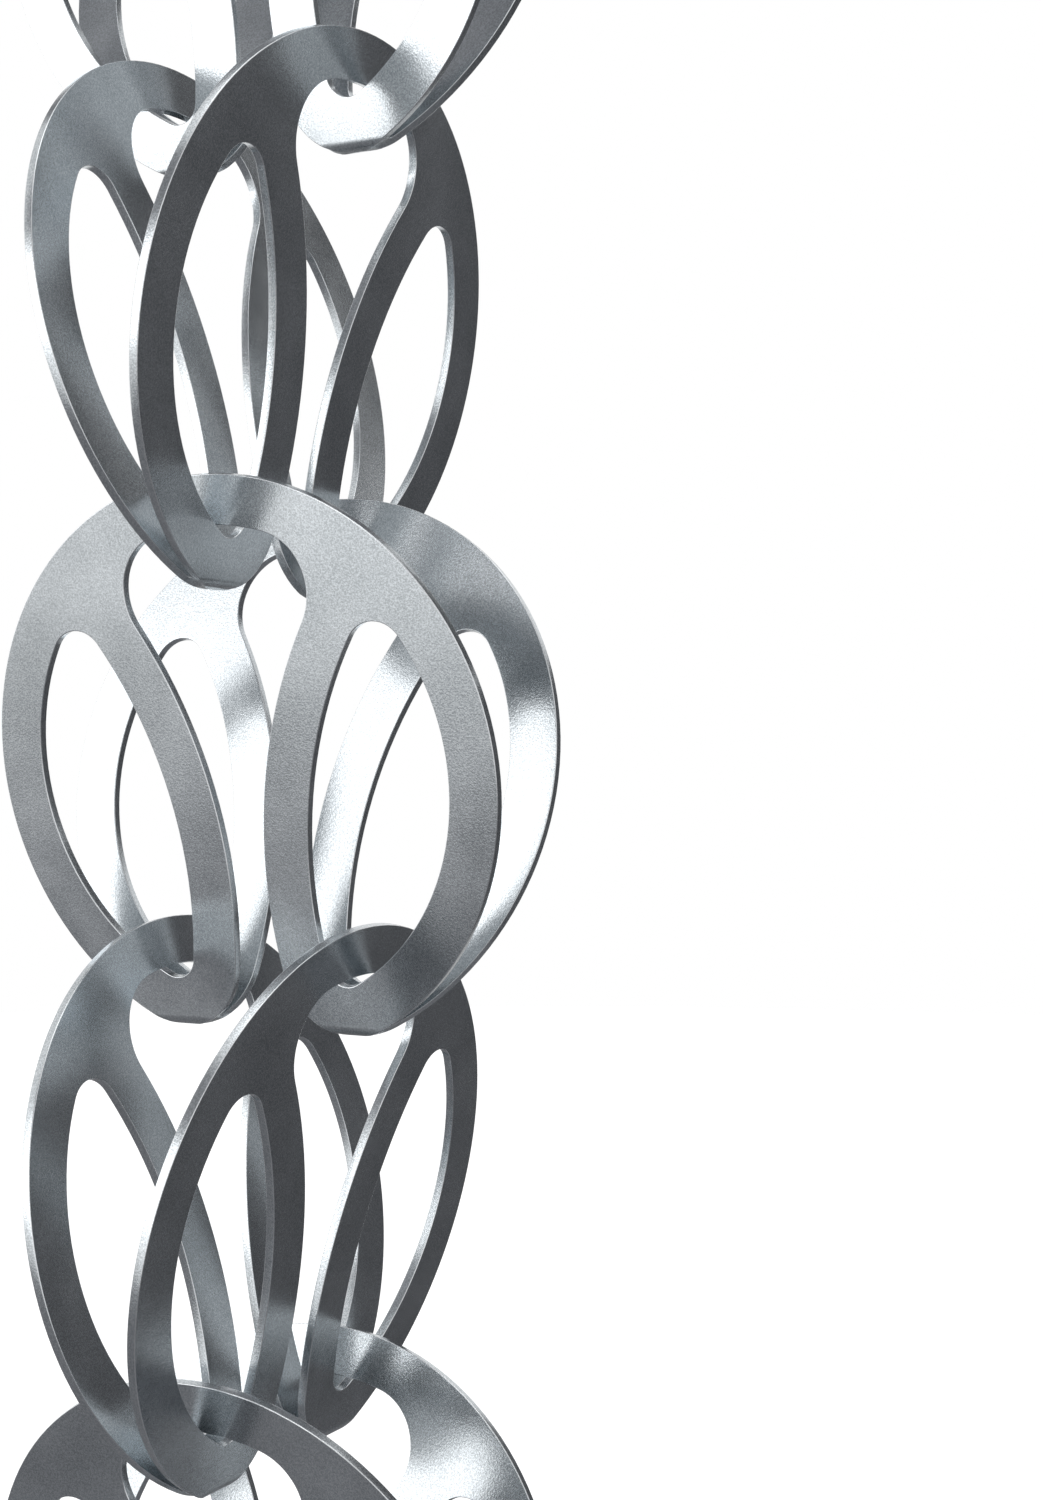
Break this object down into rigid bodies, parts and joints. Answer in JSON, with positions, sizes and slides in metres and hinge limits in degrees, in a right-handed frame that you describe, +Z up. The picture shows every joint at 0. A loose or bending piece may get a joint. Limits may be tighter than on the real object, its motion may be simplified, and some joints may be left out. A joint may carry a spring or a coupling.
{
  "type": "rain chain",
  "caption": "Hanging chain of folded sheet-metal links for guiding rainwater from a gutter: each link is a narrow V of two round pierced plates, threaded through the lobes of the one above.",
  "frame": {"origin": "the point the chain hangs from: midway between the arches of the top link, level with their underside", "axes": "+Z up along the chain; X along the top link's plates, Y across them"},
  "size_m": [0.1, 0.1, 0.9145],
  "materials": {
    "aluminium_sheet": "fine satin, faintly speckled"
  },
  "bodies": {
    "link_01": {"link_01": "aluminium_sheet"},
    "link_02": {"link_02": "aluminium_sheet"},
    "link_03": {"link_03": "aluminium_sheet"},
    "link_04": {"link_04": "aluminium_sheet"},
    "link_05": {"link_05": "aluminium_sheet"},
    "link_06": {"link_06": "aluminium_sheet"},
    "link_07": {"link_07": "aluminium_sheet"},
    "link_08": {"link_08": "aluminium_sheet"},
    "link_09": {"link_09": "aluminium_sheet"},
    "link_10": {"link_10": "aluminium_sheet"},
    "link_11": {"link_11": "aluminium_sheet"},
    "link_12": {"link_12": "aluminium_sheet"}
  },
  "joints": [
    {"name": "swing_02", "type": "hinge", "parent": "link_01", "child": "link_02", "pos_m": [0, 0, -0.0831], "axis": [1, 0, 0], "range_deg": [-20, 20]},
    {"name": "swing_03", "type": "hinge", "parent": "link_02", "child": "link_03", "pos_m": [0, 0, -0.15772], "axis": [0, 1, 0], "range_deg": [-20, 20]},
    {"name": "swing_04", "type": "hinge", "parent": "link_03", "child": "link_04", "pos_m": [0, 0, -0.23235], "axis": [1, 0, 0], "range_deg": [-20, 20]},
    {"name": "swing_05", "type": "hinge", "parent": "link_04", "child": "link_05", "pos_m": [0, 0, -0.30697], "axis": [0, 1, 0], "range_deg": [-20, 20]},
    {"name": "swing_06", "type": "hinge", "parent": "link_05", "child": "link_06", "pos_m": [0, 0, -0.38159], "axis": [1, 0, 0], "range_deg": [-20, 20]},
    {"name": "swing_07", "type": "hinge", "parent": "link_06", "child": "link_07", "pos_m": [0, 0, -0.45621], "axis": [0, 1, 0], "range_deg": [-20, 20]},
    {"name": "swing_08", "type": "hinge", "parent": "link_07", "child": "link_08", "pos_m": [0, 0, -0.53084], "axis": [1, 0, 0], "range_deg": [-20, 20]},
    {"name": "swing_09", "type": "hinge", "parent": "link_08", "child": "link_09", "pos_m": [0, 0, -0.60546], "axis": [0, 1, 0], "range_deg": [-20, 20]},
    {"name": "swing_10", "type": "hinge", "parent": "link_09", "child": "link_10", "pos_m": [0, 0, -0.68008], "axis": [1, 0, 0], "range_deg": [-20, 20]},
    {"name": "swing_11", "type": "hinge", "parent": "link_10", "child": "link_11", "pos_m": [0, 0, -0.75471], "axis": [0, 1, 0], "range_deg": [-20, 20]},
    {"name": "swing_12", "type": "hinge", "parent": "link_11", "child": "link_12", "pos_m": [0, 0, -0.82933], "axis": [1, 0, 0], "range_deg": [-20, 20]}
  ]
}
